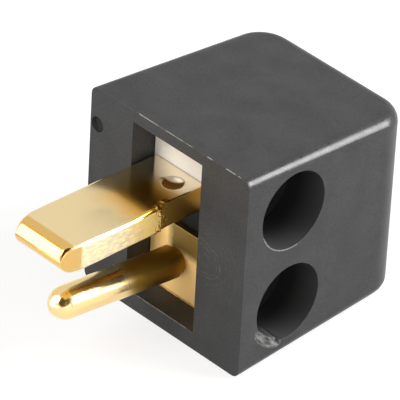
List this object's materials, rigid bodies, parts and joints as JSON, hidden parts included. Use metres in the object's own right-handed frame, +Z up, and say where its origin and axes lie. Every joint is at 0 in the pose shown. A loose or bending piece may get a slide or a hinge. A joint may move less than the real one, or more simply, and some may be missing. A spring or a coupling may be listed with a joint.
{
  "type": "angled loudspeaker plug",
  "caption": "Cube-shaped loudspeaker plug with a flat blade and a round pin in front, wire bores in one side and clamp screws reached from the rear.",
  "frame": {"origin": "middle of the housing's front face, the face that meets the socket", "axes": "+Z up, from the round pin towards the flat blade; the contacts point along -Y; the wires leave along +X"},
  "size_m": [0.0144, 0.0244, 0.0148],
  "materials": {
    "moulded_housing": "fine matt moulding",
    "tinned_cage": "matt tin plating on brass",
    "gilt_cage": "gold flash on brass",
    "gilt_blade": "gold flash, polished faces and sheared sides",
    "gilt_pin": "gold flash on a turned pin",
    "plated_screw": "zinc plating"
  },
  "bodies": {
    "plug": {"housing": "moulded_housing", "upper_clamp_cage": "tinned_cage", "lower_clamp_cage": "gilt_cage", "blade_contact": "gilt_blade", "pin_contact": "gilt_pin"},
    "upper_screw": {"upper_clamp_screw": "plated_screw"},
    "lower_screw": {"lower_clamp_screw": "plated_screw"}
  },
  "joints": [
    {"name": "upper_clamp", "type": "slide", "parent": "plug", "child": "upper_screw", "axis": [0, -1, 0], "range_m": [0, 0.0022]},
    {"name": "lower_clamp", "type": "slide", "parent": "plug", "child": "lower_screw", "axis": [0, -1, 0], "range_m": [0, 0.0022]}
  ]
}
